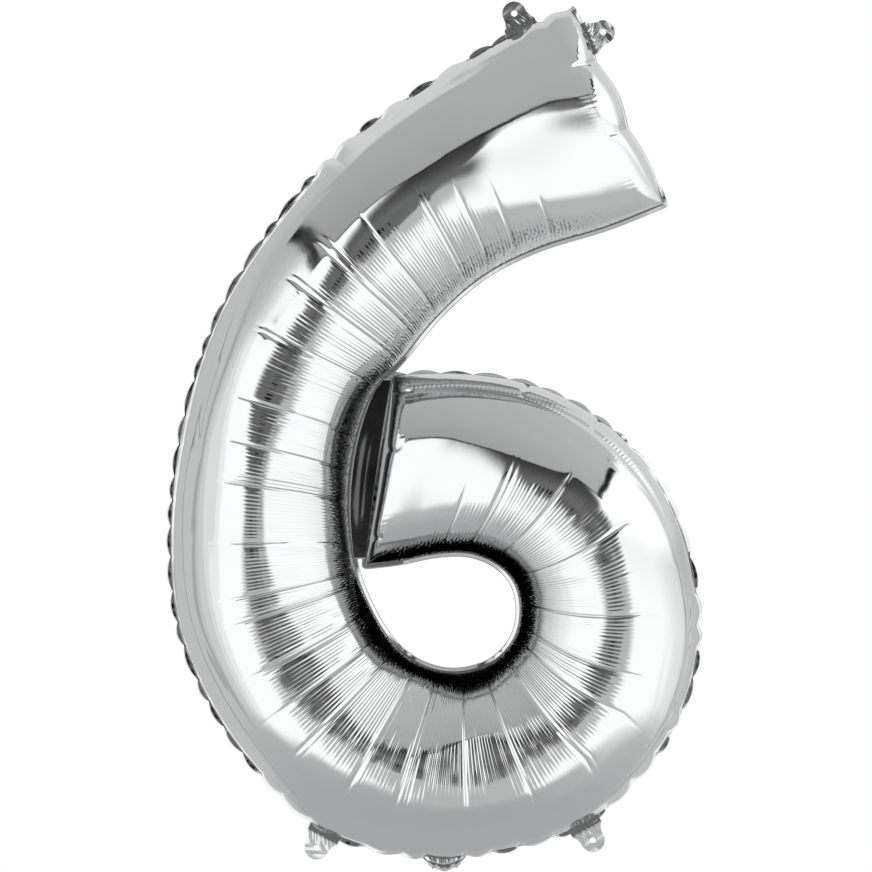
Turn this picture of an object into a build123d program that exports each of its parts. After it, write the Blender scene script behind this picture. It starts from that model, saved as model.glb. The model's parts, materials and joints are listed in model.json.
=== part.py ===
"""Foil number balloon: two silver films welded round a figure six, blown up into a bent tube.

Millimetres, +Z up, front of the figure towards -Y, +X to the right as seen from the front.
The weld lies in the plane y = 0. The origin is the middle of the bottom of the whole balloon.
"""

import math
import os

from build123d import *

os.makedirs("parts", exist_ok=True)

# The weld line that bounds the gas, as cross-stations from the cut end at the top of the stroke,
# down the back of the six, round the bowl, to the cut end that rests against the back.
# Each row is inner x, inner z, outer x, outer z.
STATIONS = (
    (228, 667, 135, 862),
    (168, 643, 64, 829),
    (105, 624, -14, 782),
    (47, 595, -90, 726),
    (1, 554, -159, 649),
    (-34, 512, -211, 568),
    (-63, 479, -242, 487),
    (-82, 425, -259, 410),
    (-88, 366, -265, 326),
    (-82, 308, -258, 249),
    (-68, 269, -231, 178),
    (-45, 230, -184, 108),
    (-16, 207, -114, 42),
    (20, 199, -16, 15),
    (56, 209, 90, 27),
    (78, 233, 168, 61),
    (84, 262, 236, 141),
    (78, 288, 263, 239),
    (60, 307, 241, 354),
    (32, 318, 184, 434),
    (-2, 317, 109, 481),
    (-36, 310, 32, 496),
    (-70, 306, -43, 495),
)
LAST = len(STATIONS) - 1

FLAT_WIDTH = 273.0  # the stroke's width before it is blown up; its girth stays twice this
END_DOME = 90.0  # length over which the tube closes down to the weld at each cut end
END_LIP = 1.0  # half depth left at the weld of a cut end
PANEL_WALL = 0.5  # drawn thickness of a blown film
WELD_GAP = 0.3  # from the weld plane to a film's rim
STEPS_PER_STATION = 4  # cross-sections and outline points between two stations

MARGIN_WIDTH = 5.0  # welded margin outside the gas line
MARGIN_HALF = 0.2  # half thickness of the welded margin
SLOT_TOP = 5.4  # station where the bowl's end meets the back of the six, upper corner
SLOT_BOTTOM = 9.2  # the same, lower corner

FOLD_GAP = 1.2  # from the margin's edge to the fold line of a tab or the tail
TAB_ROOT = 40.0
TAB_HEAD_RADIUS = 12.0
TAB_HOLE_CENTRE = 13.0  # from the fold line
TAB_HOLE_RADIUS = 3.0
TAB_HALF = 0.2
TAB_TOP_LEFT_STATION = 0.72
TAB_BOTTOM_LEFT_STATION = 12.04
TAB_BOTTOM_RIGHT_STATION = 14.72
TAB_TOP_RIGHT_SHARE = 0.16  # of the way along the upper cut end, from its outer corner

NECK_STATION = 13.23  # where the filling tail leaves the bowl
TAIL_ROOT = 34.0
TAIL_TIP = 26.0
TAIL_LENGTH = 46.0
TAIL_CORNER = 5.0
TAIL_DROOP = 10.0  # degrees below level of the folded tail
TAIL_PLY = 0.2
TAIL_PLY_GAP = 0.1

VALVE_WIDTH = 28.0
VALVE_LENGTH = 80.0
VALVE_FILM = 0.15
VALVE_SPLIT = 0.01  # half of the gap between the two valve films
VALVE_CHANNEL = 31.0  # unwelded width of the margin at the neck
VALVE_HINGE = MARGIN_WIDTH + FOLD_GAP + 4.0  # from the tail's fold line to the back film's fold
VALVE_MOUTH = 0.5  # from the tail's fold line to the front film's end

INNER, OUTER = 0, 1


def station_point(side, index):
    """The weld line's x and z at a whole station, held at the ends."""
    row = STATIONS[min(max(index, 0), LAST)]
    return row[2 * side], row[2 * side + 1]


def rail(side, k):
    """The weld line's x and z at station k, on a smooth curve through the whole stations."""
    index = min(int(k), LAST - 1)
    t = k - index
    before, start, end, after = (station_point(side, index + step) for step in (-1, 0, 1, 2))
    return tuple(
        q + t * ((r - p) + t * ((2 * p - 5 * q + 4 * r - s) + t * (3 * q - p - 3 * r + s))) / 2
        for p, q, r, s in zip(before, start, end, after)
    )


def outward(side, k):
    """The unit direction, in x and z, that leaves the tube square to the weld line at k."""
    step = 0.01
    x0, z0 = rail(side, max(k - step, 0))
    x1, z1 = rail(side, min(k + step, LAST))
    sign = 1 if side == OUTER else -1
    length = sign * math.hypot(x1 - x0, z1 - z0)
    return (z1 - z0) / length, (x0 - x1) / length


def outward_of_end(k):
    """The unit direction, in x and z, that leaves the tube square to a cut end, 0 or LAST."""
    (ix, iz), (ox, oz) = rail(INNER, k), rail(OUTER, k)
    length = math.dist((ix, iz), (ox, oz)) * (1 if k == 0 else -1)
    return (oz - iz) / length, (ix - ox) / length


def shifted(point, direction, distance):
    """A point moved along a direction."""
    return tuple(p + d * distance for p, d in zip(point, direction))


def along_end(k, share):
    """A point on a cut end's weld line, a share of the way from its outer corner."""
    return tuple(o + (i - o) * share for i, o in zip(rail(INNER, k), rail(OUTER, k)))


def margin_edge(side, k):
    """The free edge of the margin beside the weld line at k."""
    return shifted(rail(side, k), outward(side, k), MARGIN_WIDTH)


def steps(start, end):
    """Evenly spaced stations from start to end."""
    count = round((end - start) * STEPS_PER_STATION)
    return [start + (end - start) * i / count for i in range(count + 1)]


def half_width(k):
    """Half of the tube's width between the two weld lines."""
    return math.dist(rail(INNER, k), rail(OUTER, k)) / 2


def centre(k):
    """The point midway between the two weld lines."""
    return tuple((a + b) / 2 for a, b in zip(rail(INNER, k), rail(OUTER, k)))


def half_depth(k):
    """How far a film stands off the weld plane at the middle of the tube."""
    to_end = min(math.dist(centre(k), centre(0)), math.dist(centre(k), centre(LAST)))
    closed = max(0.0, 1 - to_end / END_DOME)
    full = math.sqrt(2 * (FLAT_WIDTH / math.pi) ** 2 - half_width(k) ** 2)
    return max(END_LIP, full * math.sqrt(1 - closed**2))


def section_stations():
    """Stations of a panel's sections, closer together where the tube closes at a cut end."""
    near_head = [0, 0.02, 0.06, 0.12, 0.2, 0.3, 0.42, 0.56, 0.75]
    near_bowl_end = [LAST - k for k in (0.8, 0.62, 0.45, 0.3, 0.18, 0.09, 0.03, 0)]
    return near_head + steps(1, LAST - 1) + near_bowl_end


def blown_panel(side_y):
    """One film blown out to side_y, which is -1 for the front and +1 for the back."""
    with BuildPart() as panel:
        for k in section_stations():
            (ix, iz), (ox, oz) = rail(INNER, k), rail(OUTER, k)
            across = Vector(ox - ix, 0, oz - iz).normalized()
            middle_x, middle_z = centre(k)
            plane = Plane(
                origin=(middle_x, side_y * WELD_GAP, middle_z),
                x_dir=across,
                z_dir=across.cross(Vector(0, side_y, 0)),
            )
            wide, deep = half_width(k), half_depth(k)
            with BuildSketch(plane):
                with BuildLine():
                    EllipticalCenterArc((0, 0), wide, deep, arc_size=180)
                    Line((-wide, 0), (PANEL_WALL - wide, 0))
                    EllipticalCenterArc((0, 0), wide - PANEL_WALL, deep - PANEL_WALL, arc_size=180)
                    Line((wide - PANEL_WALL, 0), (wide, 0))
                make_face()
        loft(ruled=True)
    return panel


def tube_outline():
    """The figure inside the weld line."""
    stations = steps(0, LAST)
    with BuildSketch() as figure:
        with BuildLine():
            Spline([rail(OUTER, k) for k in stations])
            Line(rail(OUTER, LAST), rail(INNER, LAST))
            Spline([rail(INNER, k) for k in stations])
            Line(rail(INNER, 0), rail(OUTER, 0))
        make_face()
    return figure.sketch


def side_margin(side):
    """The strip of margin outside one weld line."""
    stations = steps(0, LAST)
    with BuildSketch() as strip:
        with BuildLine():
            Spline([rail(side, k) for k in stations])
            Line(rail(side, LAST), margin_edge(side, LAST))
            Spline([margin_edge(side, k) for k in stations])
            Line(margin_edge(side, 0), rail(side, 0))
        make_face()
    return strip.sketch


def end_margin(k):
    """The strip of margin along a cut end, round its two corners."""
    leave = outward_of_end(k)
    with BuildSketch() as strip:
        with BuildLine():
            Polyline(
                margin_edge(INNER, k),
                rail(INNER, k),
                rail(OUTER, k),
                margin_edge(OUTER, k),
                shifted(rail(OUTER, k), leave, MARGIN_WIDTH),
                shifted(rail(INNER, k), leave, MARGIN_WIDTH),
                close=True,
            )
        make_face()
    return strip.sketch


def slot_web():
    """The flat film that fills the slot between the bowl's end and the back of the six."""
    stations = steps(SLOT_TOP, SLOT_BOTTOM)
    with BuildSketch() as web:
        with BuildLine():
            Spline([rail(INNER, k) for k in stations])
            Polyline(
                rail(INNER, stations[-1]),
                rail(INNER, LAST),
                rail(OUTER, LAST),
                rail(INNER, stations[0]),
            )
        make_face()
    return web.sketch


def fold_plane(edge_point, leave, rise=FOLD_GAP):
    """A plane in the weld plane: local x along a fold line, local y away from the tube."""
    x, z = shifted(edge_point, leave, rise)
    return Plane(origin=(x, 0, z), x_dir=(leave[1], 0, -leave[0]), z_dir=(0, -1, 0))


def hang_tab(plane):
    """A two-ply lug with a punched eyelet, standing on the plane's local x axis."""
    shoulder = (TAB_HEAD_RADIUS, TAB_HOLE_CENTRE)
    with BuildPart() as tab:
        with BuildSketch(plane):
            with BuildLine():
                Line((-TAB_ROOT / 2, 0), (TAB_ROOT / 2, 0))
                Spline((TAB_ROOT / 2, 0), shoulder, tangents=((-1, 0.2), (0, 1)))
                ThreePointArc(shoulder, (0, shoulder[1] + TAB_HEAD_RADIUS), (-shoulder[0], shoulder[1]))
                Spline((-shoulder[0], shoulder[1]), (-TAB_ROOT / 2, 0), tangents=((0, -1), (-1, -0.2)))
            make_face()
            with Locations((0, TAB_HOLE_CENTRE)):
                Circle(TAB_HOLE_RADIUS, mode=Mode.SUBTRACT)
        extrude(amount=TAB_HALF, both=True)
    return tab


def tail_ply(plane, face_side):
    """One ply of the filling tail, +1 for the ply that faces front when the tail hangs down."""
    start = TAIL_PLY_GAP / 2 if face_side > 0 else -TAIL_PLY_GAP / 2 - TAIL_PLY
    with BuildPart() as ply:
        with BuildSketch(plane.offset(start)) as outline:
            with BuildLine():
                Polyline(
                    (-TAIL_ROOT / 2, 0),
                    (TAIL_ROOT / 2, 0),
                    (TAIL_TIP / 2, TAIL_LENGTH),
                    (-TAIL_TIP / 2, TAIL_LENGTH),
                    close=True,
                )
            make_face()
            fillet(outline.vertices().group_by(Axis(plane.origin, plane.y_dir))[-1], TAIL_CORNER)
        extrude(amount=TAIL_PLY)
    return ply


def finish(piece, name):
    """Names a piece and writes it to its own file."""
    piece.part.label = name
    export_step(piece.part, f"parts/{name}.step")


front_panel = blown_panel(-1)
finish(front_panel, "front_panel")

back_panel = blown_panel(1)
finish(back_panel, "back_panel")

neck_leave = outward(OUTER, NECK_STATION)
neck = fold_plane(margin_edge(OUTER, NECK_STATION), neck_leave)

with BuildPart() as perimeter_seal:
    with BuildSketch(Plane.XZ):
        for strip in (side_margin(OUTER), side_margin(INNER), end_margin(0), end_margin(LAST)):
            add(strip)
        add(slot_web())
        add(tube_outline(), mode=Mode.SUBTRACT)
    extrude(amount=MARGIN_HALF, both=True)
    with BuildSketch(neck):
        Rectangle(VALVE_CHANNEL, 2 * (MARGIN_WIDTH + FOLD_GAP) + 1)
    extrude(amount=MARGIN_HALF, both=True, mode=Mode.SUBTRACT)
finish(perimeter_seal, "perimeter_seal")

tab_planes = {
    "hang_tab_top_left": fold_plane(
        margin_edge(OUTER, TAB_TOP_LEFT_STATION), outward(OUTER, TAB_TOP_LEFT_STATION)
    ),
    "hang_tab_top_right": fold_plane(
        along_end(0, TAB_TOP_RIGHT_SHARE), outward_of_end(0), MARGIN_WIDTH + FOLD_GAP
    ),
    "hang_tab_bottom_left": fold_plane(
        margin_edge(OUTER, TAB_BOTTOM_LEFT_STATION), outward(OUTER, TAB_BOTTOM_LEFT_STATION)
    ),
    "hang_tab_bottom_right": fold_plane(
        margin_edge(OUTER, TAB_BOTTOM_RIGHT_STATION), outward(OUTER, TAB_BOTTOM_RIGHT_STATION)
    ),
}
for tab_name, tab_plane in tab_planes.items():
    finish(hang_tab(tab_plane), tab_name)

folded_back = Vector(0, 1, 0).rotate(Axis.X, -TAIL_DROOP)
tail_plane = Plane(origin=neck.origin, x_dir=neck.x_dir, z_dir=neck.x_dir.cross(folded_back))
finish(tail_ply(tail_plane, 1), "filling_tail_front")
finish(tail_ply(tail_plane, -1), "filling_tail_back")

with BuildPart() as valve_front_film:
    with BuildSketch(neck.offset(VALVE_SPLIT)):
        with Locations((0, -VALVE_MOUTH)):
            Rectangle(VALVE_WIDTH, VALVE_LENGTH - VALVE_MOUTH, align=(Align.CENTER, Align.MAX))
    extrude(amount=VALVE_FILM)
finish(valve_front_film, "valve_front_film")

with BuildPart() as valve_back_film:
    with BuildSketch(neck.offset(-VALVE_SPLIT - VALVE_FILM)):
        with Locations((0, -VALVE_HINGE)):
            Rectangle(VALVE_WIDTH, VALVE_LENGTH - VALVE_HINGE, align=(Align.CENTER, Align.MAX))
    extrude(amount=VALVE_FILM)
finish(valve_back_film, "valve_back_film")
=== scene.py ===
"""The looks of a silver foil number balloon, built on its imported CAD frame.

Everything is in metres in the frame's axes: +Z up, the front towards -Y. The blown films are grids
that run along the tube (s, metres from the upper cut end) and across it (theta, 0 at the inner weld
line and pi at the outer one). Their creases and pleats are moved vertices, not only bump.
"""
import json
import math

import bmesh
import bpy
import numpy as np
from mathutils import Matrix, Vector
from mathutils.bvhtree import BVHTree


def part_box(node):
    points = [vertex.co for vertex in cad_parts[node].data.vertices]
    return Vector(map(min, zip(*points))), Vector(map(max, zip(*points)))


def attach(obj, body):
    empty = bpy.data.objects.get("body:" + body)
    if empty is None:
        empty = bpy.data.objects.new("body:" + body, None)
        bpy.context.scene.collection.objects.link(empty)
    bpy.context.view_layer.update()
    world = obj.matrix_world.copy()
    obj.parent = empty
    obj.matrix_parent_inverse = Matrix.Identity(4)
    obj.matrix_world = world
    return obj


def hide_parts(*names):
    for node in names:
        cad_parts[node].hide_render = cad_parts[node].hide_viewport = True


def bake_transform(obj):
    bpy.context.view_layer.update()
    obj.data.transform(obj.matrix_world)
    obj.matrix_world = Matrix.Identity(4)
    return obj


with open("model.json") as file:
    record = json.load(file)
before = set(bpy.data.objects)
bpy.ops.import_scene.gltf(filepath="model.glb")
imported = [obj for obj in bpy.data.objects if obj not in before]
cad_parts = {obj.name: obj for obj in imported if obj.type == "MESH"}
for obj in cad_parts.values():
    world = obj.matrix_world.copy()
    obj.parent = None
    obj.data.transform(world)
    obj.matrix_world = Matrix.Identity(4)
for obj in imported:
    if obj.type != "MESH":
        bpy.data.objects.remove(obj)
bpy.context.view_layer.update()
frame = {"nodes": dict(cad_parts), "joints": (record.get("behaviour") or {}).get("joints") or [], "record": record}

MM = 0.001
SEED = 6

# Blown films: columns run across the tube, rows along it
FILM_COLUMNS = 1500
FILM_ROWS = 170
FILM_SPLITS = (("top", 0, 500), ("spine", 500, 1000), ("bowl", 1000, FILM_COLUMNS - 1))
CREST_SHIFT = 8 * MM  # how far the crest lies towards the outer weld
ROLL_WIDTH = (23 * MM, 15 * MM)  # the steep roll beside each cut end
END_PINCHES = ((0.38, 0.73), (0.14, 0.61, 0.92))  # share of the cut end, from the inner weld
END_LOBE = 6 * MM  # how far the upper end's lobes stand out between the pinches
RISE_LENGTH = 170 * MM
ROLL_SHARE = 0.70  # share of the full depth the roll reaches
DOME_LENGTH = 90 * MM

# Long creases: where each one's tip is along the tube; a minus sign marks a forked crease
CREASES = (102, 141, 173, -209, 266, -311, -350, -397, 461, 502, -541, -598, 653, -677, -724, 763, -799, 850,
           -891, 949, 1004, -1056, 1103, 1135, 1186, 1257, 1316, -1367, 1400)
CREASE_DEPTH = 1.25 * MM
CREASE_WIDTH = 1.25 * MM
CELL_BULGE = 0.30 * MM
PLEAT_PITCH = (3.1 * MM, 4.4 * MM)
PLEAT_HEIGHT = 0.15 * MM
KNOT_HEIGHT = 0.42 * MM  # small crumples beside the inner weld
FLAT_WIDTH = 273 * MM  # a film's width from weld to weld
GROOVE_AT = 0.82  # share of the way across at which the bowl's outer roll starts
BOWL_ROLL_PINCHES = (1330 * MM, 1385 * MM)

# Tight lines along the film: place across it, how far and how slowly it strays, depth, width across,
# then the share of the line that shows, how that swings along it, and its most
TIGHT_LINES = (
    (0.835, 0.012, 150 * MM, 0.45 * MM, 0.011, 0.6, (0.5, 180 * MM), 1.2),
    (0.755, 0.03, 210 * MM, 0.30 * MM, 0.015, 0.5, (0.6, 160 * MM), 1),
)

# How far across the film the pleats reach: place along the tube in mm, then the share of the width
COMB_REACH = ((0, 30, 100, 200, 300, 450, 800, 1000, 1250, 1350, 1430, 1483),
              (0, 0.03, 0.25, 0.42, 0.54, 0.58, 0.59, 0.61, 0.60, 0.50, 0.25, 0))

# How far the pleats lean along the tube by the inner weld: place in mm, then the lean in mm
LEAN = ((0, 150, 300, 600, 655, 790, 850, 940, 1000, 1110, 1250, 1380, 1483),
        (0, 50, 48, 43, 20, 2, -4, -15, -37, -60, -65, -56, 0))

# Welded margin
MARGIN_WIDTH = 5.0 * MM
FOLDED_LEAN = 74  # degrees by which a folded lobe of the margin turns back
MARGIN_HALF = 0.12 * MM
LOBE_LENGTH = 31 * MM
PINCH_DEPTH = 1.1 * MM

FOIL_REFLECTANCE = 0.88  # the studio is brightened by as much, so a mirrored grey keeps its value

# Studio
DEEP_SHADE = ((2, 0.42), (3, 0.30), (4, 0.40))  # mirrorings, and the share of light kept from there on
CARD_BEHIND = 2.5 * MM  # the distance behind the weld of the black card that paints shade into the films' reflections
FRAME_WIDTH = 0.872
CAMERA_AWAY = 5.0
CAMERA_HEIGHT = 0.435
SENSOR_WIDTH = 36


# ---------------------------------------------------------------------------------- small maths


def smoothstep(low, high, x):
    """0 at low and 1 at high, smooth between; falls if low is above high."""
    t = np.clip((x - low) / (high - low), 0.0, 1.0)
    return t * t * (3 - 2 * t)


def along_curve(xs, ys, x):
    """Values of a smooth curve through (xs, ys) at x."""
    xs, ys = np.asarray(xs, float), np.asarray(ys, float)
    slopes = np.gradient(ys, xs, axis=0)
    i = np.clip(np.searchsorted(xs, x) - 1, 0, len(xs) - 2)
    h = xs[i + 1] - xs[i]
    t = (x - xs[i]) / h
    if ys.ndim > 1:
        t, h = t[..., None], h[..., None]
    return (
        ys[i] * (1 + 2 * t) * (1 - t) ** 2
        + slopes[i] * h * t * (1 - t) ** 2
        + ys[i + 1] * t * t * (3 - 2 * t)
        + slopes[i + 1] * h * t * t * (t - 1)
    )


def wander(rng, x, wavelength, count=5):
    """A smooth random curve of about unit height over x."""
    total = np.zeros_like(np.asarray(x, float))
    for _ in range(count):
        turns = 2 * np.pi * x / (wavelength * rng.uniform(0.6, 1.7))
        total = total + np.sin(turns + rng.uniform(0, 2 * np.pi))
    return total / math.sqrt(count)


def random_steps(rng, length, low, high):
    """Positions from 0 past length, low to high apart."""
    count = int(length / low) + 2
    return np.r_[0, np.cumsum(rng.uniform(low, high, count))]


def running_length(points):
    return np.r_[0, np.cumsum(np.linalg.norm(np.diff(points, axis=0), axis=1))]


# ------------------------------------------------------------------------------- mesh building


def new_piece(name, points, quads, material, normals=None):
    """A smooth-shaded mesh object from points (n, 3) and quads (m, 4)."""
    mesh = bpy.data.meshes.new(name)
    mesh.vertices.add(len(points))
    mesh.vertices.foreach_set("co", points.astype(np.float32).ravel())
    mesh.loops.add(quads.size)
    mesh.loops.foreach_set("vertex_index", quads.astype(np.int32).ravel())
    mesh.polygons.add(len(quads))
    mesh.polygons.foreach_set("loop_start", np.arange(0, quads.size, 4, dtype=np.int32))
    mesh.polygons.foreach_set("use_smooth", np.ones(len(quads), bool))
    mesh.update(calc_edges=True)
    if normals is not None:
        mesh.normals_split_custom_set_from_vertices(normals.astype(np.float32))
    piece = bpy.data.objects.new(name, mesh)
    bpy.context.scene.collection.objects.link(piece)
    mesh.materials.append(material)
    return piece


def grid_quads(rows, columns, wrap_rows=False, wrap_columns=False, flip=False):
    """Quads of a grid of points stored row after row."""
    r = np.arange(rows if wrap_rows else rows - 1)
    c = np.arange(columns if wrap_columns else columns - 1)
    r, c = np.meshgrid(r, c, indexing="ij")
    r1, c1 = (r + 1) % rows, (c + 1) % columns
    corners = [r * columns + c, r * columns + c1, r1 * columns + c1, r1 * columns + c]
    quads = np.stack(corners, -1).reshape(-1, 4)
    return quads[:, ::-1] if flip else quads


def grid_normals(points):
    """Unit normals of a grid of points, d/dcolumn x d/drow."""
    n = np.cross(np.gradient(points, axis=0), np.gradient(points, axis=1))
    return n / np.maximum(np.linalg.norm(n, axis=-1, keepdims=True), 1e-12)


# ------------------------------------------------------------------------------------ materials


def foil(name, grey, rough_low, rough_high, bump_scale, bump_depth):
    """Metallised film: a mirror with faint uneven haze and fine dents."""
    material = bpy.data.materials.new(name)
    material.use_nodes = True
    tree = material.node_tree
    nodes, links = tree.nodes, tree.links
    shader = nodes["Principled BSDF"]
    shader.inputs["Metallic"].default_value = 1.0
    where = nodes.new("ShaderNodeTexCoord")

    haze = nodes.new("ShaderNodeTexNoise")
    haze.inputs["Scale"].default_value = 14.0
    haze.inputs["Detail"].default_value = 5.0
    rough = nodes.new("ShaderNodeMapRange")
    rough.inputs["From Min"].default_value = 0.3
    rough.inputs["From Max"].default_value = 0.7
    rough.inputs["To Min"].default_value = rough_low
    rough.inputs["To Max"].default_value = rough_high
    links.new(where.outputs["Object"], haze.inputs["Vector"])
    links.new(haze.outputs["Fac"], rough.inputs["Value"])
    links.new(rough.outputs["Result"], shader.inputs["Roughness"])

    tint = nodes.new("ShaderNodeMix")
    tint.data_type = "RGBA"
    tint.inputs["A"].default_value = (grey, grey * 1.005, grey * 1.012, 1)
    tint.inputs["B"].default_value = (grey * 0.975, grey * 0.98, grey * 0.985, 1)
    links.new(haze.outputs["Fac"], tint.inputs["Factor"])
    links.new(tint.outputs["Result"], shader.inputs["Base Color"])

    dents = nodes.new("ShaderNodeTexNoise")
    dents.inputs["Scale"].default_value = bump_scale
    dents.inputs["Detail"].default_value = 3.0
    bump = nodes.new("ShaderNodeBump")
    bump.inputs["Strength"].default_value = 1.0
    bump.inputs["Distance"].default_value = bump_depth
    links.new(where.outputs["Object"], dents.inputs["Vector"])
    links.new(dents.outputs["Fac"], bump.inputs["Height"])
    links.new(bump.outputs["Normal"], shader.inputs["Normal"])
    return material


def clear_film(name):
    """Milky polyethylene of the filling valve."""
    material = bpy.data.materials.new(name)
    material.use_nodes = True
    nodes, links = material.node_tree.nodes, material.node_tree.links
    shader = nodes["Principled BSDF"]
    shader.inputs["Transmission Weight"].default_value = 0.7
    shader.inputs["IOR"].default_value = 1.5
    where = nodes.new("ShaderNodeTexCoord")
    cloud = nodes.new("ShaderNodeTexNoise")
    cloud.inputs["Scale"].default_value = 120.0
    milk = nodes.new("ShaderNodeMix")
    milk.data_type = "RGBA"
    milk.inputs["A"].default_value = (0.86, 0.88, 0.89, 1)
    milk.inputs["B"].default_value = (0.74, 0.77, 0.79, 1)
    rough = nodes.new("ShaderNodeMapRange")
    rough.inputs["To Min"].default_value = 0.2
    rough.inputs["To Max"].default_value = 0.45
    links.new(where.outputs["Object"], cloud.inputs["Vector"])
    links.new(cloud.outputs["Fac"], milk.inputs["Factor"])
    links.new(cloud.outputs["Fac"], rough.inputs["Value"])
    links.new(milk.outputs["Result"], shader.inputs["Base Color"])
    links.new(rough.outputs["Result"], shader.inputs["Roughness"])
    return material


panel_foil = foil("panel_foil", 0.90, 0.04, 0.085, 60.0, 0.03 * MM)
# The seam foil's darker grey is painted shade: it darkens the welded margin and the slot web as if they lay in
# shade between the films.
seam_foil = foil("seam_foil", 0.84, 0.05, 0.10, 260.0, 0.015 * MM)
tab_foil = foil("tab_foil", 0.86, 0.07, 0.14, 220.0, 0.03 * MM)
valve_film = clear_film("valve_film")


# ------------------------------------------------------------------- the weld line, from the CAD


def rim_rails(panel):
    """The inner and outer weld lines of a blown CAD panel, as matching points, one pair per section."""
    rim_reach = 0.5 * MM
    wall = 0.6 * MM
    bm = bmesh.new()
    bm.from_mesh(panel.data)
    bmesh.ops.remove_doubles(bm, verts=bm.verts, dist=0.01 * MM)
    bm.normal_update()
    rim = {f for f in bm.faces if abs(f.normal.y) > 0.99 and abs(f.calc_center_median().y) < rim_reach}
    edges = [e for e in bm.edges if sum(f in rim for f in e.link_faces) == 1]
    beside = {}
    for e in edges:
        a, b = e.verts
        beside.setdefault(a, []).append(b)
        beside.setdefault(b, []).append(a)
    rails, seen = [], set()
    for start in beside:
        if start in seen:
            continue
        loop, previous, vertex = [start], None, start
        while True:
            seen.add(vertex)
            following = next((v for v in beside[vertex] if v is not previous and v not in seen), None)
            if following is None:
                break
            loop.append(following)
            previous, vertex = vertex, following
        points = np.array([v.co for v in loop])
        gaps = np.linalg.norm(np.roll(points, -1, axis=0) - points, axis=1)
        first = int(np.argmin(np.where(gaps < wall, gaps, np.inf)))
        points = np.roll(points, -first - 1, axis=0)
        half = len(points) // 2
        rail = (points[:half] + points[half:][::-1]) / 2
        rail[:, 1] = 0
        rails.append(rail if rail[0, 2] > rail[-1, 2] else rail[::-1])
    tree = BVHTree.FromBMesh(bm)
    bm.free()
    rails.sort(key=lambda rail: running_length(rail)[-1])
    return rails[0], rails[1], tree


def end_lobes(share):
    """How far the upper cut end's film stands out at a share of its width from the inner weld."""
    marks = (0.0, *END_PINCHES[0], 1.0)
    position = np.interp(share, marks, np.arange(len(marks)))
    size = np.interp(position, (0, 1.5, 3), (0.5, 1.0, 0.35))
    return END_LOBE * np.sin(np.pi * (position % 1.0)) ** 1.2 * size


rim_inner, rim_outer, panel_tree = rim_rails(frame["nodes"]["front_panel"])
rim_centre = (rim_inner + rim_outer) / 2
rim_at = running_length(rim_centre)
TUBE = rim_at[-1]


def cad_depth():
    """How far the CAD front panel stands off the weld plane at mid-width, per section, with no end dome."""
    depth = np.zeros(len(rim_at))
    for j, point in enumerate(rim_centre):
        hit = panel_tree.ray_cast(Vector((point[0], -1, point[2])), Vector((0, 1, 0)))[0]
        depth[j] = -hit.y if hit else 0
    near = np.minimum(rim_at, TUBE - rim_at)
    dome = np.sqrt(np.clip(1 - (1 - np.clip(near / DOME_LENGTH, 0, 1)) ** 2, 1e-6, 1))
    good = near > 12 * MM
    return np.interp(rim_at, rim_at[good], (depth / dome)[good])


rim_depth = cad_depth()


def smoothed(xs, ys, spread):
    """The curve through (xs, ys) as a table 1 mm apart, with its small corners rounded and its ends kept."""
    fine = np.linspace(0, TUBE, 1484)
    table = along_curve(xs, ys, fine)
    reach = int(3 * spread / MM)
    weights = np.exp(-0.5 * (np.arange(-reach, reach + 1) * MM / spread) ** 2)
    weights /= weights.sum()
    columns = table if table.ndim > 1 else table[:, None]
    rounded = []
    for column in columns.T:
        before, after = 2 * column[0] - column[reach:0:-1], 2 * column[-1] - column[-2:-reach - 2:-1]
        rounded.append(np.convolve(np.r_[before, column, after], weights, "valid"))
    return fine, np.stack(rounded, -1) if table.ndim > 1 else rounded[0]


fine_at, fine_inner = smoothed(rim_at, rim_inner, 9 * MM)
fine_outer = smoothed(rim_at, rim_outer, 9 * MM)[1]
fine_depth = smoothed(rim_at, rim_depth, 22 * MM)[1]


def from_table(table, s):
    """Values of a 1 mm table at s."""
    if table.ndim == 1:
        return np.interp(s, fine_at, table)
    return np.stack([np.interp(s, fine_at, column) for column in table.T], -1)


def end_rise(s):
    """Share of the full depth at s: a steep roll beside each cut end, then a gentle slope."""
    total = np.ones_like(s)
    for near, roll in ((s, ROLL_WIDTH[0]), (TUBE - s, ROLL_WIDTH[1])):
        curl = np.sqrt(np.clip(1 - (1 - np.clip(near / roll, 0, 1)) ** 2.2, 0, 1))
        slope = 1 - (1 - np.clip(near / RISE_LENGTH, 0, 1)) ** 2
        total = total * (ROLL_SHARE * curl + (1 - ROLL_SHARE) * slope)
    return total


# ----------------------------------------------------------------------------- the blown films


def crease_lines(rng, back):
    """Tip positions and strengths of the long creases; the back film has its own."""
    at, strength = [], []
    for mark in CREASES:
        place = abs(mark) * MM + (rng.uniform(-14, 14) * MM if back else 0)
        at.append(place)
        strength.append(rng.uniform(0.75, 1.0))
        if mark < 0:
            for _ in range(rng.integers(1, 3)):
                at.append(place + rng.choice((-1, 1)) * rng.uniform(4, 8) * MM)
                strength.append(rng.uniform(0.3, 0.6))
    return np.array(at), np.array(strength)


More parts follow.
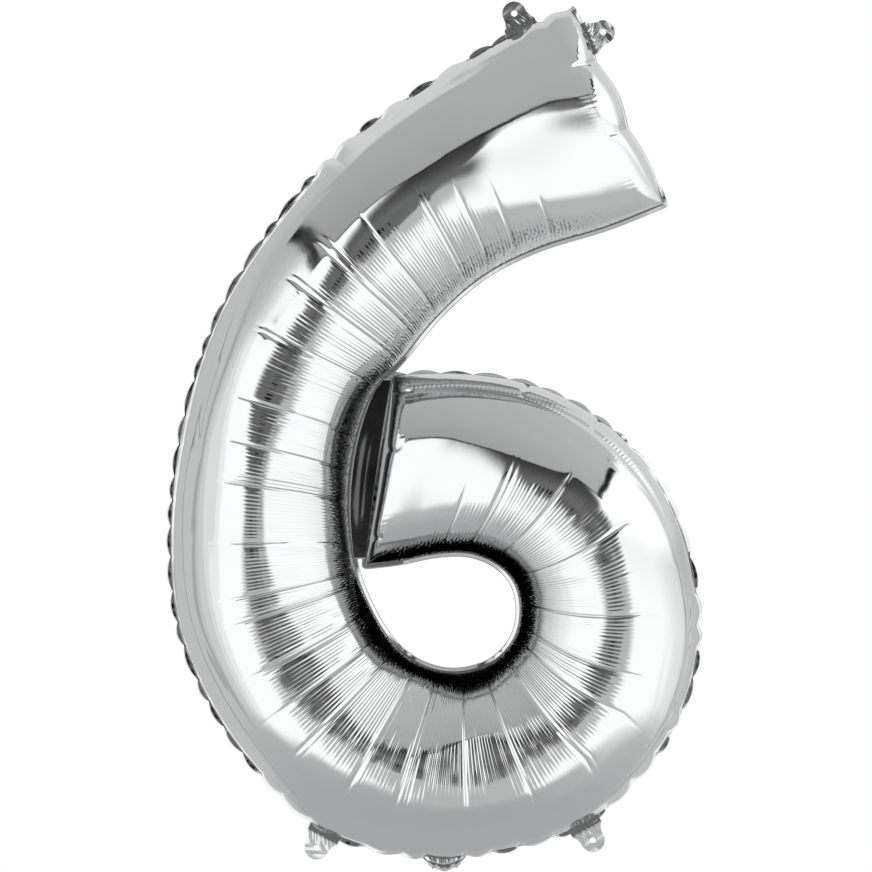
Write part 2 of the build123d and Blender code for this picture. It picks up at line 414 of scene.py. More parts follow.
def long_creases(column, w, tip, rng, back):
    """Thin valleys from the inner weld to a tip, with low swells between them, and the gap to each valley."""
    at, strength = crease_lines(rng, back)
    gap = column[:, None] - at[None, :]
    crease_tip = tip + 0.075
    deeper_inside = 0.35 + 0.65 * smoothstep(0, 0.12, crease_tip - w)
    fade = smoothstep(0, 0.10, w) * deeper_inside * (w < crease_tip + 0.05)
    fade = fade * smoothstep(-0.05, 0.06, crease_tip - w)
    valley = (strength * np.exp(-np.abs(gap) / CREASE_WIDTH)).max(axis=1)[:, None]
    main = np.sort(np.abs(np.array(CREASES)) * MM)
    cell = np.interp(column, main, np.arange(len(main)))
    swell_between = (np.sin(np.pi * (cell % 1.0)) ** 0.8)[:, None]
    cells = smoothstep(0, 0.12, w) * smoothstep(-0.02, 0.16, tip - w)
    return CELL_BULGE * swell_between * cells - CREASE_DEPTH * valley * fade, gap


def fine_pleats(q, w, tip, gap, rng):
    """Fine pleats, comb-like at their tips and longest beside a crease, knotted beside the inner weld."""
    column = q[:, 0]
    edges = random_steps(rng, TUBE, *PLEAT_PITCH)
    index = np.interp(column, edges, np.arange(len(edges)))
    number = np.clip(index.astype(int), 0, len(edges) - 1)
    reach = rng.normal(0, 0.012, len(edges))[number][:, None]
    beside = np.exp(-np.abs(gap).min(axis=1) / (9 * MM))[:, None]
    pleat_tip = tip + reach + 0.045 * beside
    strength_here = rng.uniform(0.35, 1.55, len(edges))[number][:, None]
    grows = smoothstep(0, 0.10, pleat_tip - w) * smoothstep(0.0, 0.05, w)
    inner_zone = 1 + 2.2 * np.exp(-((w - 0.09) / 0.07) ** 2)
    ripple = np.sin(2 * np.pi * index)[:, None]
    uneven = 1 + 0.5 * wander(rng, w, 0.13, 3) * wander(rng, q, 17 * MM, 4)
    knots = wander(rng, w, 0.035, 4) * wander(rng, q, 7 * MM, 5) * np.exp(-((w - 0.09) / 0.07) ** 2)
    height = KNOT_HEIGHT * knots * smoothstep(0.0, 0.04, w) * smoothstep(0.02, 0.2, tip)
    pleat = PLEAT_HEIGHT * ripple * grows * strength_here * inner_zone * uneven
    return height + pleat * smoothstep(0.01, 0.05, tip)


def soft_streaks(q, w, rng):
    """Faint streaks along the smooth outer half, and a slow billow over the whole film."""
    v = w * FLAT_WIDTH
    outer_half = smoothstep(0.50, 0.66, w) * smoothstep(1.0, 0.93, w)
    height = 0
    for wavelength, size in ((46, 0.30), (23, 0.10)):
        drift = 6 * MM * wander(rng, q, 420 * MM, 3)
        pulse = 0.6 + 0.4 * wander(rng, q, 260 * MM, 3)
        height = height + size * MM * outer_half * pulse * wander(rng, v + drift, wavelength * MM, 3)
    billow = 0.9 * MM * wander(rng, q, 210 * MM, 4) * wander(rng, v, 130 * MM, 3)
    return height + billow * smoothstep(0.0, 0.2, w) * smoothstep(1.0, 0.85, w)


def outer_weld_folds(q, w, outer_at, rng):
    """Lobes between the outer weld's pinches, and two tight lines inside it."""
    lobe = np.interp(outer_at, outer_lobes, np.arange(len(outer_lobes)))
    pinch = np.exp(-np.abs(lobe - np.round(lobe)) * LOBE_LENGTH / (1.4 * MM))
    pinch_size = np.interp(np.round(lobe), np.arange(len(outer_lobes)), outer_pinch)
    from_outer = (1 - w) * FLAT_WIDTH
    rises = smoothstep(0, 1.5 * MM, from_outer)
    height = -PINCH_DEPTH * pinch_size ** 2 * pinch * np.exp(-from_outer / (18 * MM * pinch_size)) * rises
    puff = 0.6 * MM * np.abs(np.sin(np.pi * lobe))
    height += puff * np.exp(-from_outer / (16 * MM)) * smoothstep(0, 4 * MM, from_outer)
    for place, strays, stray_length, depth, width, share, swing, most in TIGHT_LINES:
        line_at = place + strays * wander(rng, q, stray_length, 3)
        tight = np.clip(share + swing[0] * wander(rng, q, swing[1], 3), 0, most)
        height += -depth * np.exp(-(((w - line_at) / width) ** 2)) * tight
    return height


def cut_end_folds(s, cos, rng):
    """Pinched lobes at both cut ends, and a comb along the ridge of each roll."""
    share = (1 - cos) / 2
    height = 0
    for near, roll, pinches, groove in (
        (s, ROLL_WIDTH[0], END_PINCHES[0], 0.1 * MM),
        (TUBE - s, ROLL_WIDTH[1], END_PINCHES[1], 0.4 * MM),
    ):
        close = smoothstep(roll + 5 * MM, roll - 2 * MM, near) * smoothstep(0, 2 * MM, near)
        for place in pinches:
            fold = np.abs(share - place) * 200 * MM
            height = height - 2.2 * MM * np.exp(-fold / (1.3 * MM)) * close
            height = height - 0.7 * MM * np.exp(-((fold / (9 * MM)) ** 2)) * close
        middle = smoothstep(0.06, 0.16, share) * smoothstep(0.95, 0.86, share)
        ridge = np.exp(-(((near - roll) / (0.22 * roll)) ** 2))
        height = height - groove * ridge * middle
        comb = np.sin(2 * np.pi * (share * 190 * MM / (3.9 * MM) + 0.3 * wander(rng, share, 0.2, 3)))
        height = height + 0.11 * MM * np.exp(-(((near - roll) / (0.38 * roll)) ** 2)) * comb * middle
    return height


def bowl_roll(q, s, w, outer_at):
    """The bowl's outer roll: a groove along it with a comb, and its own pinches."""
    on_bowl = smoothstep(1235 * MM, 1300 * MM, s) * smoothstep(0, 14 * MM, TUBE - s)
    beyond_groove = w > GROOVE_AT
    half = 0.5 * (1 - GROOVE_AT)
    rounded = np.sqrt(np.clip(1 - ((w - 0.5 * (1 + GROOVE_AT)) / half) ** 2, 0, 1))
    height = 1.6 * MM * rounded * on_bowl * beyond_groove
    ridge = np.exp(-(((w - GROOVE_AT) / 0.018) ** 2)) * on_bowl
    comb = np.sin(2 * np.pi * outer_at / (4.6 * MM))
    height += 0.24 * MM * np.exp(-(((w - GROOVE_AT) / 0.03) ** 2)) * on_bowl * comb
    height += -0.35 * MM * ridge
    for place in BOWL_ROLL_PINCHES:
        fold = np.abs(q - place)
        height += -3.0 * MM * np.exp(-fold / (1.5 * MM)) * rounded * beyond_groove
    return height


def blown_film(side, rng):
    """Grid (columns, rows, 3) of one film, its creases and pleats included. side is -1 for the front."""
    q = np.linspace(0, TUBE, FILM_COLUMNS)[:, None]
    column = q[:, 0]
    theta = np.linspace(0, np.pi, FILM_ROWS)[None, :]
    w = theta / np.pi
    tip = np.interp(q / MM, *COMB_REACH)
    lean = from_table(smoothed(np.array(LEAN[0]) * MM, np.array(LEAN[1]) * MM, 20 * MM)[1], q)
    s = q + lean * np.clip(1 - w / 0.62, 0, 1) ** 1.15
    s = np.clip(s, 0, TUBE)

    inner = from_table(fine_inner, s)
    outer = from_table(fine_outer, s)
    depth = from_table(fine_depth, s) * end_rise(s)
    across = (outer - inner) / 2
    half = np.linalg.norm(across, axis=-1)
    cos, sin = np.cos(theta), np.sin(theta)
    near_end = np.minimum(s, TUBE - s)
    share = -cos + CREST_SHIFT / half * sin ** 2 * smoothstep(0, 60 * MM, near_end)
    points = (inner + outer) / 2 + across * share[..., None]
    points[..., 1] = side * (depth * sin + 0.15 * MM)
    outward = np.cross(rim_outer[0] - rim_inner[0], (0, 1, 0))
    outward /= np.linalg.norm(outward) * (1 if outward[0] > 0 else -1)
    lobes_out = end_lobes((1 - cos) / 2) * np.exp(-np.maximum(s, 0) / (16 * MM)) * smoothstep(30 * MM, 0, s)
    points += outward * lobes_out[..., None]
    outer_at = np.interp(column, fine_at, running_length(fine_outer))[:, None]
    off_ends = smoothstep(0, 20 * MM, np.minimum(q, TUBE - q))
    beyond = seam_overhang(outer_at) * smoothstep(0.80, 1.0, w) * off_ends
    points += (across / half[..., None]) * beyond[..., None]

    height, gap = long_creases(column, w, tip, rng, side > 0)
    height = height + fine_pleats(q, w, tip, gap, rng)
    height = height + soft_streaks(q, w, rng)
    height = height + outer_weld_folds(q, w, outer_at, rng)
    height = height + cut_end_folds(s, cos, rng)
    height = height + bowl_roll(q, s, w, outer_at)
    height *= smoothstep(0, 3 * MM, near_end) * smoothstep(0, 0.012, w) * smoothstep(1.0, 0.99, w)
    normals = grid_normals(points)
    normals *= np.sign((normals * np.array([0, side, 0])).sum(-1).mean())
    return points + normals * height[..., None]


lobe_rng = np.random.default_rng(SEED)
outer_lobes = random_steps(lobe_rng, running_length(fine_outer)[-1], 0.72 * LOBE_LENGTH, 1.25 * LOBE_LENGTH)
outer_pinch = lobe_rng.uniform(0.5, 1.2, len(outer_lobes))
lobe_middle = np.stack(
    [
        np.interp(outer_lobes + 0.5 * LOBE_LENGTH, running_length(fine_outer), fine_outer[:, i])
        for i in range(3)
    ],
    -1,
)
flat_chance = np.select(
    (lobe_middle[:, 2] < 0.10, lobe_middle[:, 0] > 0.16, lobe_middle[:, 2] > 0.70, lobe_middle[:, 0] > -0.05),
    (0.25, 0.65, 0.35, 1.0),
    1.0,
)
lobe_folded = (lobe_rng.uniform(0, 1, len(outer_lobes)) > flat_chance).astype(float)


def seam_overhang(outer_at):
    """How far the film stands out over a folded lobe of the margin, by length along the outer weld."""
    number = np.interp(outer_at, outer_lobes, np.arange(len(outer_lobes)))
    index = np.clip(number.astype(int), 0, len(outer_lobes) - 1)
    return 3.2 * MM * lobe_folded[index] * np.sin(np.pi * (number % 1.0)) ** 1.1

for side, label in ((-1, "front"), (1, "back")):
    grid = blown_film(side, np.random.default_rng(SEED + side))
    normals = grid_normals(grid)
    if normals[..., 1].mean() * side < 0:
        normals = -normals
    flip = side > 0
    for part, first, last in FILM_SPLITS:
        block = grid[first:last + 1]
        quads = grid_quads(block.shape[0], block.shape[1], flip=flip)
        piece = new_piece(f"{label}_foil_{part}", block.reshape(-1, 3), quads, panel_foil,
                          normals[first:last + 1].reshape(-1, 3))
        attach(piece, "balloon")
        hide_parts(f"{label}_panel")

# ---------------------------------------------------------------------------- the welded margin


def closed_weld():
    """Points of the whole weld loop 1.4 mm apart, the way out of it, and each point's stretch and length."""
    fine = np.linspace(0, TUBE, 4000)
    inner, outer = from_table(fine_inner, fine), from_table(fine_outer, fine)
    share = np.linspace(0, 1, 400)[:, None]
    stretches = (
        inner,
        inner[-1] + (outer[-1] - inner[-1]) * share,
        outer[::-1],
        outer[0] + (inner[0] - outer[0]) * share,
    )
    points, kind, place = [], [], []
    for number, stretch in enumerate(stretches):
        length = running_length(stretch)
        at = np.arange(0, length[-1], 1.4 * MM)
        points.append(np.stack([np.interp(at, length, stretch[:, i]) for i in range(3)], -1))
        kind.append(np.full(len(at), number))
        place.append(length[-1] - at if number == 2 else at / length[-1] if number in (1, 3) else at)
    points, kind, place = np.concatenate(points), np.concatenate(kind), np.concatenate(place)
    end_way = np.cross(rim_outer[0] - rim_inner[0], (0, 1, 0))
    end_way /= np.linalg.norm(end_way) * (1 if end_way[0] > 0 else -1)
    points += end_way * np.where(kind == 3, end_lobes(1 - place), 0)[:, None]
    outer_length = running_length(fine_outer)[-1]
    clear = smoothstep(0, 25 * MM, np.minimum(place, outer_length - place))
    overhang = np.where(kind == 2, seam_overhang(place) * clear, 0)
    along = np.zeros_like(points)
    for reach in (1, 2, 3):
        along += np.roll(points, -reach, axis=0) - np.roll(points, reach, axis=0)
    along /= np.linalg.norm(along, axis=1, keepdims=True)
    out = np.stack([along[:, 2], np.zeros(len(along)), -along[:, 0]], -1)
    area = 0.5 * np.sum(points[:, 0] * np.roll(points[:, 2], -1) - np.roll(points[:, 0], -1) * points[:, 2])
    out = out if area > 0 else -out
    return points + out * overhang[:, None], out, kind, place


def seam_margin(rng):
    """The welded margin round the whole figure: scalloped, some lobes turned back, others flat."""
    points, out, kind, place = closed_weld()
    on_inner, on_outer = kind == 0, kind == 2
    number = np.interp(place, outer_lobes, np.arange(len(outer_lobes)))
    lobe = np.where(on_outer, number % 1.0, 0.5)
    index = np.clip(number.astype(int), 0, len(outer_lobes) - 1)
    puff = np.sin(np.pi * lobe) ** 0.75
    soft = np.where(on_outer, 0.16 + 0.84 * puff, 0.92)

    lean = np.zeros(len(points))
    every = rng.normal(0, 1.3, len(outer_lobes))
    lean[on_outer] = 0.5 + every[index[on_outer]] + FOLDED_LEAN * lobe_folded[index[on_outer]]
    over_bowl = on_outer & (out[:, 2] > 0.25) & (points[:, 0] > -0.05) & (points[:, 2] < 0.52)
    lean[over_bowl] = 24 + 4 * every[index[over_bowl]]
    lean[on_inner] = 17 + 6 * wander(rng, place[on_inner], 90 * MM)
    slit = on_inner & (points[:, 0] < -0.03) & (points[:, 2] < 0.52) & (points[:, 2] > 0.30)
    lean[slit] = 2
    cut = kind == 3
    lean[cut] = FOLDED_LEAN * smoothstep(0.02, 0.10, place[cut]) * smoothstep(0.98, 0.90, place[cut])
    cut = kind == 1
    lean[cut] = 2
    smooth = np.ones(5) / 5
    lean = np.radians(np.convolve(np.r_[lean[-2:], lean, lean[:2]], smooth, "valid"))

    rows = np.linspace(0, 1, 6)
    width = (MARGIN_WIDTH * soft)[:, None] * rows
    curl = (0.12 * MM * np.where(on_outer, np.sin(2 * np.pi * lobe + 1.3) * puff, 0.5))[:, None] * rows ** 2
    middle = points[:, None, :] + out[:, None, :] * (width * np.cos(lean)[:, None])[..., None]
    middle[..., 1] = width * np.sin(lean)[:, None] + curl
    middle[..., 1] += 0.05 * MM * wander(rng, np.arange(len(points)) * 1.4 * MM, 9 * MM)[:, None] * rows
    both = np.concatenate([middle, middle[:, ::-1]], axis=1)
    both[:, :6, 1] -= MARGIN_HALF
    both[:, 6:, 1] += MARGIN_HALF
    quads = grid_quads(both.shape[0], both.shape[1], wrap_rows=True, wrap_columns=True)
    return new_piece("seam_margin", both.reshape(-1, 3), quads, seam_foil)


def face_outward(piece):
    """Turns a closed piece's faces to point out of it."""
    bm = bmesh.new()
    bm.from_mesh(piece.data)
    bmesh.ops.recalc_face_normals(bm, faces=bm.faces)
    bm.to_mesh(piece.data)
    bm.free()


def slot_web(rng):
    """The sealed sheet between the spine and the bowl's cut end."""
    share = np.linspace(0.03, 0.985, 130)[:, None]
    right = rim_inner[-1] + (rim_outer[-1] - rim_inner[-1]) * share
    spine = rim_inner[: int(len(rim_inner) * 0.62)]
    order = np.argsort(spine[:, 2])
    left_x = np.interp(right[:, 2], spine[order, 2], spine[order, 0])
    left = np.stack([left_x, np.zeros(len(right)), right[:, 2]], -1)
    across = np.linspace(0, 1, 10)
    middle = left[:, None] * (1 - across)[None, :, None] + right[:, None] * across[None, :, None]
    ripple = np.sin(np.pi * across)[None, :] * wander(rng, share, 0.30, 4)
    fold = np.exp(-(((across[None, :] - 0.45) * 9) ** 2))
    fold = fold * smoothstep(0.15, 0.3, share) * smoothstep(0.75, 0.6, share)
    middle[..., 1] = (0.05 * ripple - 0.25 * fold) * MM
    both = np.concatenate([middle, middle[:, ::-1]], axis=1)
    both[:, :10, 1] -= 0.6 * MARGIN_HALF
    both[:, 10:, 1] += 0.6 * MARGIN_HALF
    rows = both.shape[0]
    piece = new_piece("slot_web", both.reshape(-1, 3), grid_quads(rows, 20, wrap_columns=True), seam_foil)
    bm = bmesh.new()
    bm.from_mesh(piece.data)
    bmesh.ops.holes_fill(bm, edges=[e for e in bm.edges if e.is_boundary])
    bmesh.ops.recalc_face_normals(bm, faces=bm.faces)
    bm.to_mesh(piece.data)
    bm.free()
    return piece


margin = seam_margin(np.random.default_rng(SEED + 10))
face_outward(margin)
web = slot_web(np.random.default_rng(SEED + 11))
for piece in (margin, web):
    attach(piece, "balloon")
    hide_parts("perimeter_seal")


# ------------------------------------------------------------------------------ the hang tabs

TAB_ROOT_OVERLAP = 7.5 * MM
TAB_HOLE_CENTRE = 13 * MM
TAB_HALF = MARGIN_HALF + 0.05 * MM  # stands just clear of the margin it is welded to
TAB_RINGS = 26
TAB_SPOKES = 240


def outline_of(node):
    """Corner points of the CAD tab's outer outline, in order."""
    bm = bmesh.new()
    bm.from_mesh(frame["nodes"][node].data)
    bmesh.ops.remove_doubles(bm, verts=bm.verts, dist=0.01 * MM)
    bm.normal_update()
    faces = {f for f in bm.faces if f.normal.y < -0.99}
    edges = [e for e in bm.edges if sum(f in faces for f in e.link_faces) == 1]
    beside = {}
    for e in edges:
        for one, other in (e.verts, reversed(e.verts)):
            beside.setdefault(one, []).append(other)
    loops, seen = [], set()
    for start in beside:
        if start in seen:
            continue
        loop, vertex = [], start
        while vertex is not None:
            seen.add(vertex)
            loop.append(np.array(vertex.co))
            vertex = next((v for v in beside[vertex] if v not in seen), None)
        loops.append(np.array(loop))
    bm.free()
    return max(loops, key=lambda loop: running_length(loop)[-1])


def hang_tab(corner, folds, depth, lean_back, rng):
    """A crumpled tab with its eyelet, welded to the margin and free beyond its fold line."""
    record = frame["record"]["behaviour"]
    joint = next(j for j in frame["joints"] if j["name"] == f"fold_{corner}")
    mounts = frame["record"].get("mounts", []) + record.get("mounts", [])
    centre = np.array(next(m for m in mounts if m["name"] == f"eyelet_{corner}")["pos_m"])
    axis = np.array(joint["axis"])
    out = np.cross(axis, (0, 1, 0))
    middle_of_all = rim_centre.mean(axis=0)
    if (centre - middle_of_all) @ out < 0:
        out = -out
    root = centre - out * TAB_HOLE_CENTRE
    outline = outline_of(f"hang_tab_{corner}")
    reach = (outline - root) @ out
    outline = outline - np.where(reach < 1.0 * MM, TAB_ROOT_OVERLAP, 0)[:, None] * out
    length = running_length(np.vstack([outline, outline[:1]]))
    closed = np.vstack([outline, outline[:1]])
    at = np.linspace(0, length[-1], 3000)
    dense = np.stack([np.interp(at, length, closed[:, i]) for i in range(3)], -1)
    angle = np.arctan2((dense - centre) @ axis, (dense - centre) @ out)
    order = np.argsort(angle)
    radius = np.linalg.norm(dense - centre, axis=1)[order]
    angle = angle[order]
    spokes = np.linspace(-np.pi, np.pi, TAB_SPOKES, endpoint=False)
    rim = np.interp(spokes, np.r_[angle - 2 * np.pi, angle, angle + 2 * np.pi], np.tile(radius, 3))
    ring = np.linspace(0, 1, TAB_RINGS)
    hole = 3.0 * MM
    r = hole + (rim[:, None] - hole) * ring[None, :]
    way = np.cos(spokes)[:, None, None] * out + np.sin(spokes)[:, None, None] * axis
    middle = centre + way * r[..., None]

    beyond = (middle - root) @ out
    sideways = (middle - root) @ axis
    free = smoothstep(-1 * MM, 9 * MM, beyond)
    fan = np.arctan2(sideways, beyond + 9 * MM)
    wave = fan * folds / 1.2 + 0.35 * wander(rng, beyond, 22 * MM, 3) + rng.uniform(0, 1)
    ridge = 1 - 2 * np.abs((wave % 1.0) * 2 - 1) ** 0.8
    small = wander(rng, sideways + 0.6 * beyond, 9 * MM, 3) * wander(rng, beyond - 0.4 * sideways, 11 * MM, 3)
    push = depth * ridge * free + 0.12 * depth * small * free
    near_root = np.exp(-(((beyond - 3.5 * MM) / (3.5 * MM)) ** 2))
    gather = wander(rng, sideways + 0.5 * beyond, 4.5 * MM, 4) * near_root
    push += (0.12 * MM + 0.1 * depth) * gather
    push += lean_back * (np.maximum(beyond, 0) / (25 * MM)) ** 1.5
    middle[..., 1] += push
    shrink = 0.10 * depth / MM * free * np.abs(ridge) * 0.4 * MM
    middle -= out * shrink[..., None]
    both = np.concatenate([middle, middle[:, ::-1]], axis=1)
    both[:, :TAB_RINGS, 1] -= TAB_HALF
    both[:, TAB_RINGS:, 1] += TAB_HALF
    quads = grid_quads(TAB_SPOKES, 2 * TAB_RINGS, wrap_rows=True, wrap_columns=True)
    piece = new_piece(f"foil_tab_{corner}", both.reshape(-1, 3), quads, tab_foil)
    face_outward(piece)
    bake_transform(piece)
    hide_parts(f"hang_tab_{corner}")
    return piece


for corner, folds, depth, lean_back in (
    ("top_left", 2, 0.20 * MM, 0.3 * MM),
    ("top_right", 2, 2.8 * MM, 5 * MM),
    ("bottom_left", 2, 0.10 * MM, 5 * MM),
    ("bottom_right", 2, 0.16 * MM, 5 * MM),
):
    hang_tab(corner, folds, depth, lean_back, np.random.default_rng(SEED + 20 + folds))


# --------------------------------------------------------------------------- the filling tail


def filling_tail(rng):
    """The flattened filling neck, its two plies pressed together and folded back behind the bowl."""
    low, high = (np.array(v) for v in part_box("filling_tail_front"))
    low2, high2 = (np.array(v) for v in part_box("filling_tail_back"))
    low, high = np.minimum(low, low2), np.maximum(high, high2)
    joint = next(j for j in frame["joints"] if j["name"] == "unfold_tail")
    axis = np.array(joint["axis"])
    down = np.cross((0, 1, 0), axis)
    down = down if down[2] < 0 else -down
    mount = next(m for m in frame["record"].get("mounts", []) + frame["record"]["behaviour"].get("mounts", [])
                 if m["name"] == "filling_neck")
    neck = np.array(mount["pos_m"])
    droop = math.atan2(neck[2] - low[2], high[1] - neck[1])
    away = np.array((0, math.cos(droop), 0)) + down * math.sin(droop)
    start, bend, length = 8 * MM, 2.2 * MM, high[1] / math.cos(droop)

    rows = np.linspace(-start, length, 90)
    path = np.where(
        rows[:, None] < 0,
        neck + down * rows[:, None],
        neck + away * rows[:, None],
    )
    for _ in range(6):
        path[1:-1] = (path[:-2] + 2 * path[1:-1] + path[2:]) / 4
    half_width = np.interp(rows, (-start, 0, length), (24 * MM, 17 * MM, 13 * MM))
    columns = np.linspace(-1, 1, 70)
    middle = path[:, None, :] + axis * (half_width[:, None] * columns)[..., None]
    along = np.gradient(path, axis=0)
    along /= np.linalg.norm(along, axis=1, keepdims=True)
    normal = np.cross(axis, along)
    normal = normal * np.sign(normal[:, 2:3] + 1e-9)
    fan = np.arctan2(columns[None, :] * 17 * MM, (rows + 12 * MM)[:, None])
    wave = fan * 3.2 + 0.3 * wander(rng, rows, 25 * MM, 3)[:, None] + 0.25
    ridge = 1 - 2 * np.abs((wave % 1.0) * 2 - 1) ** 0.8
    drop = 8.5 * MM * (1 - np.abs(columns) ** 1.4)[None, :] * np.exp(-((rows / (7 * MM)) ** 2))[:, None]
    middle = middle + down * drop[..., None]
    push = ridge * MM * (0.06 + 0.94 * smoothstep(2 * MM, 12 * MM, rows)[:, None])
    push = push + 0.25 * MM * wander(rng, columns, 0.5, 3)[None, :] * wander(rng, rows, 12 * MM, 3)[:, None]
    middle = middle + normal[:, None, :] * push[..., None]
    open_gap = 0.35 * MM * (1 - columns ** 2)[None, :] + MARGIN_HALF
    both = np.concatenate([middle + normal[:, None] * open_gap[..., None],
                           (middle - normal[:, None] * open_gap[..., None])[:, ::-1]], axis=1)
    piece = new_piece("foil_tail", both.reshape(-1, 3), grid_quads(90, 140, wrap_columns=True), tab_foil)
    bm = bmesh.new()
    bm.from_mesh(piece.data)
    for edge_row in (0, 89):
        bm.verts.ensure_lookup_table()
        for c in range(69):
            a, b = edge_row * 140 + c, edge_row * 140 + 139 - c
            bm.faces.new([bm.verts[i] for i in (a, a + 1, b - 1, b)]).smooth = True
    bmesh.ops.recalc_face_normals(bm, faces=bm.faces)
    bm.to_mesh(piece.data)
    bm.free()
    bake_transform(piece)
    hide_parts("filling_tail_front", "filling_tail_back")
    return piece


filling_tail(np.random.default_rng(SEED + 30))

for node in ("valve_front_film", "valve_back_film"):
    films = frame["nodes"][node]
    films.data.materials.clear()
    films.data.materials.append(valve_film)


# --------------------------------------------------------------------------------- the studio


class Grey:
    """A number in a node tree, with arithmetic that adds the nodes."""

    def __init__(self, tree, socket):
        self.tree, self.socket = tree, socket

    def _math(self, operation, *others):
        node = self.tree.nodes.new("ShaderNodeMath")
        node.operation = operation
        for i, value in enumerate((self, *others)):
            if isinstance(value, Grey):
                self.tree.links.new(value.socket, node.inputs[i])
            else:
                node.inputs[i].default_value = value
        return Grey(self.tree, node.outputs[0])

    def __add__(self, other):
        return self._math("ADD", other)

    def __sub__(self, other):
        return self._math("SUBTRACT", other)

    def __mul__(self, other):
        return self._math("MULTIPLY", other)

    def __truediv__(self, other):
        return self._math("DIVIDE", other)

    def power(self, other):
        return self._math("POWER", other)

    def size(self):
        return self._math("ABSOLUTE")

    def step(self, low, high):
        """0 below low, 1 above high, smooth between; falls instead if low is above high."""
        node = self.tree.nodes.new("ShaderNodeMapRange")
        node.interpolation_type = "SMOOTHSTEP"
        low, high, first, last = (low, high, 0.0, 1.0) if low < high else (high, low, 1.0, 0.0)
        for name, value in (("From Min", low), ("From Max", high), ("To Min", first), ("To Max", last)):
            node.inputs[name].default_value = value
        self.tree.links.new(self.socket, node.inputs["Value"])
        return Grey(self.tree, node.outputs["Result"])

    def within(self, low, high, soft):
        return self.step(low - soft, low + soft) * self.step(high + soft, high - soft)

    def blend(self, other, amount):
        """This value where amount is 0, other where it is 1."""
        if isinstance(other, Grey):
            return self + (other - self) * amount
        return self + (self * -1.0 + other) * amount


def studio_light():
    """What the foil mirrors: side softboxes, a framed ceiling panel, a dark camera bay, panels behind."""
    world = bpy.data.worlds.new("studio")
    bpy.context.scene.world = world
    world.use_nodes = True
    tree = world.node_tree
    nodes, links = tree.nodes, tree.links
    nodes.clear()
    where = nodes.new("ShaderNodeTexCoord")
    split = nodes.new("ShaderNodeSeparateXYZ")
    links.new(where.outputs["Generated"], split.inputs[0])
    x, y, z = (Grey(tree, split.outputs[i]) for i in range(3))
    degrees = 180 / math.pi
    up = z._math("ARCSINE") * degrees
    turn = x._math("ARCTAN2", y * -1.0) * degrees
    away = (y * -1.0)._math("ARCCOSINE") * degrees

    # walls and floor, by how far the direction is from the camera's
    value = away.step(100, 120) * 0.03 + 0.70
    # behind the balloon: two soft panels side by side below a dark shelf
    panels = x.within(-0.42, -0.07, 0.05) + x.within(0.07, 0.42, 0.05)
    rear = panels * z.within(-0.45, 0.40, 0.06) * 0.26 + 0.66
    value = value.blend(rear - z.within(0.45, 0.66, 0.06) * 0.34, away.step(142, 153))
    # the dark bay above the camera
    bay = up.step(24, 6) * 0.17 + 0.22
    value = value.blend(bay, turn.within(-24, 24, 9) * up.within(3, 26, 4))
    # left softbox, falling off in steps away from the camera
    side = turn * -1.0
    glow = side.step(44, 52) * -0.07 + 0.98
    glow = glow + side.step(57, 61) * -0.06 + side.step(66, 69) * -0.06 + side.step(76, 79) * -0.05
    glow = glow + side.within(84, 92, 1.5) * -0.10
    value = value.blend(glow, side.within(12, 118, 4) * up.within(-34, 30, 6))
    # right softbox
    glow = up.step(-4, 24) * -0.07 + turn.step(60, 92) * -0.10 + 0.98
    glow = glow + turn.step(95, 125) * -0.14
    value = value.blend(glow, turn.within(19, 135, 4) * up.within(-31, 26, 6))
    # ring of the backdrop's edge, below and to the sides
    value = value.blend(0.52, away.within(110.5, 112.5, 1.0) * up.step(28, 20))
    # camera and its dark surround
    value = value.blend(0.40, away.step(11, 9))
    value = value.blend(0.08, away.step(3.4, 2.6))
    # ceiling panel and its frame, on a plane above
    over = z._math("MAXIMUM", 0.001)
    across, along = x / over, y / over
    panel = across.within(-1.26, 1.0, 0.02) * along.within(-2.25, 0.18, 0.03) * z.step(0.05, 0.1)
    bright = (along.step(0.1, 0.6) * across.step(-1.0, -0.75) + across.step(0.98, 1.1))._math("MINIMUM", 1.0)
    value = value.blend(away.step(96, 116) * -0.20 + 1.0, bright * z.step(0.15, 0.3))
    value = value.blend(across.step(-1.3, 1.0) * 0.06 + along.step(-2.2, 0.2) * 0.05 + 0.60, panel)
    frame_lines = (
        across.within(-1.32, -1.22, 0.02) * along.within(-2.3, 0.0, 0.02)
        + across.within(0.97, 1.05, 0.02) * along.within(-2.3, -0.2, 0.02)
        + along.within(-2.36, -2.22, 0.03) * across.within(-1.3, 1.02, 0.02)
    )
    value = value.blend(0.04, frame_lines._math("MINIMUM", 1.0) * z.step(0.05, 0.1))

    light = ((value + 0.055) / 1.055).power(2.4) / FOIL_REFLECTANCE
    path = nodes.new("ShaderNodeLightPath")
    for bounce, shade in DEEP_SHADE:
        deep = Grey(tree, path.outputs["Glossy Depth"]).step(bounce - 0.6, bounce - 0.4)
        light = light * (deep * -(1 - shade) + 1.0)
    seen = light.blend(1.0, Grey(tree, path.outputs["Is Camera Ray"]))
    background = nodes.new("ShaderNodeBackground")
    links.new(seen.socket, background.inputs["Color"])
    out = nodes.new("ShaderNodeOutputWorld")
    links.new(background.outputs[0], out.inputs[0])


studio_light()


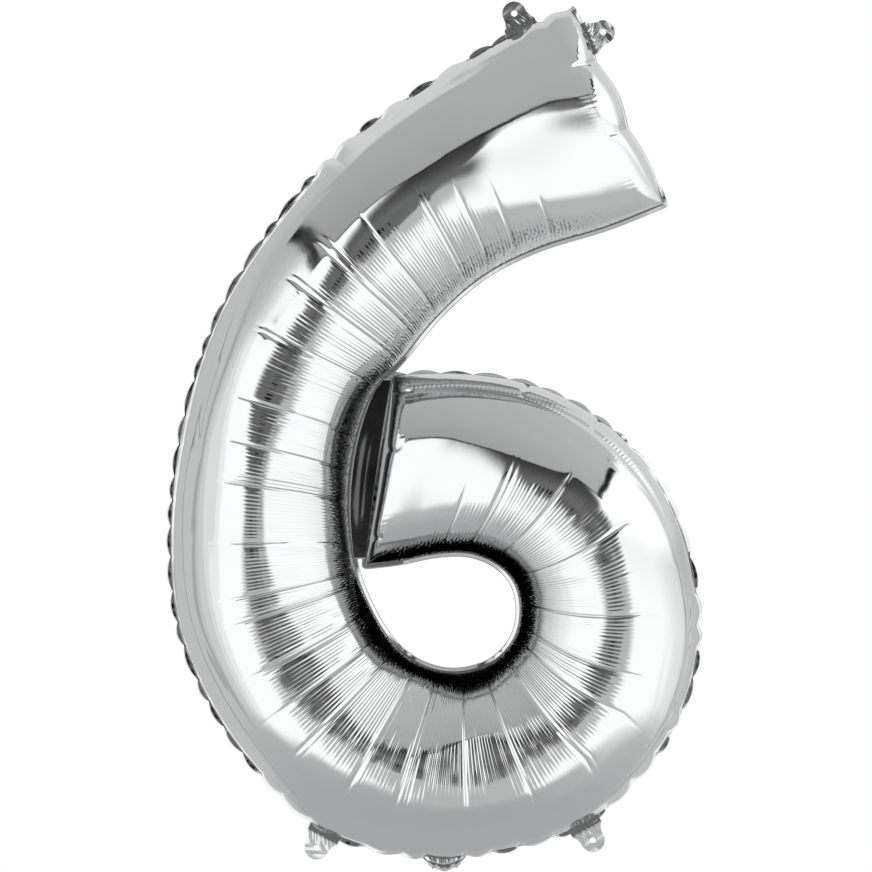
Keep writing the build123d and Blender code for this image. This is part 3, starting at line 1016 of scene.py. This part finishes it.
def pale_floor():
    """A pale floor well below the balloon, fading out at its rim."""
    radius, drop, spokes, rings = 1.1, 0.42, 96, 24
    turn = np.linspace(0, 2 * np.pi, spokes, endpoint=False)[None, :]
    out = np.linspace(0.002, 1, rings)[:, None] * radius
    points = np.stack([out * np.cos(turn), out * np.sin(turn), -drop + 0 * out * turn], -1)
    material = bpy.data.materials.new("floor")
    material.use_nodes = True
    tree = material.node_tree
    nodes, links = tree.nodes, tree.links
    shader = nodes["Principled BSDF"]
    shader.inputs["Base Color"].default_value = (0.72, 0.725, 0.73, 1)
    shader.inputs["Roughness"].default_value = 0.8
    where = nodes.new("ShaderNodeTexCoord")
    length = nodes.new("ShaderNodeVectorMath")
    length.operation = "LENGTH"
    links.new(where.outputs["Object"], length.inputs[0])
    edge = nodes.new("ShaderNodeMapRange")
    edge.interpolation_type = "SMOOTHSTEP"
    edge.inputs["From Min"].default_value = 0.55 * radius
    edge.inputs["From Max"].default_value = radius
    links.new(length.outputs["Value"], edge.inputs["Value"])
    clear = nodes.new("ShaderNodeBsdfTransparent")
    mix = nodes.new("ShaderNodeMixShader")
    links.new(edge.outputs["Result"], mix.inputs["Fac"])
    links.new(shader.outputs[0], mix.inputs[1])
    links.new(clear.outputs[0], mix.inputs[2])
    links.new(mix.outputs[0], nodes["Material Output"].inputs["Surface"])
    floor = new_piece("floor", points.reshape(-1, 3), grid_quads(rings, spokes, wrap_columns=True), material)


pale_floor()


def painted_shade_card():
    """Painted shade: a black card behind the bowl's opening that stands in for the shade deep inside the tubes,
    mirrored by the films and not seen by the camera.
    """
    last = rim_inner[-1]
    inside = [i for i in range(len(rim_inner)) if rim_inner[i][2] < last[2] - 4 * MM and rim_at[i] > 0.5]
    loop = rim_inner[inside[0]:]
    mesh = bpy.data.meshes.new("opening")
    mesh.from_pydata([(p[0], CARD_BEHIND, p[2]) for p in loop], [], [list(range(len(loop)))])
    # the card's black is painted shade, seen only in the films' reflections
    material = bpy.data.materials.new("unlit")
    material.use_nodes = True
    shader = material.node_tree.nodes["Principled BSDF"]
    shader.inputs["Base Color"].default_value = (0.0, 0.0, 0.0, 1)
    shader.inputs["Specular IOR Level"].default_value = 0.0
    mesh.materials.append(material)
    card = bpy.data.objects.new("opening", mesh)
    bpy.context.scene.collection.objects.link(card)
    card.visible_camera = False
    card.visible_diffuse = False
    card.visible_transmission = False
    card.visible_shadow = False


painted_shade_card()

view = bpy.context.scene.view_settings
view.view_transform = "Standard"

camera_data = bpy.data.cameras.new("camera")
camera_data.sensor_width = SENSOR_WIDTH
camera_data.lens = SENSOR_WIDTH * CAMERA_AWAY / FRAME_WIDTH
camera = bpy.data.objects.new("camera", camera_data)
camera.location = (0, -CAMERA_AWAY, CAMERA_HEIGHT)
camera.rotation_euler = (math.pi / 2, 0, 0)
bpy.context.scene.collection.objects.link(camera)
bpy.context.scene.camera = camera
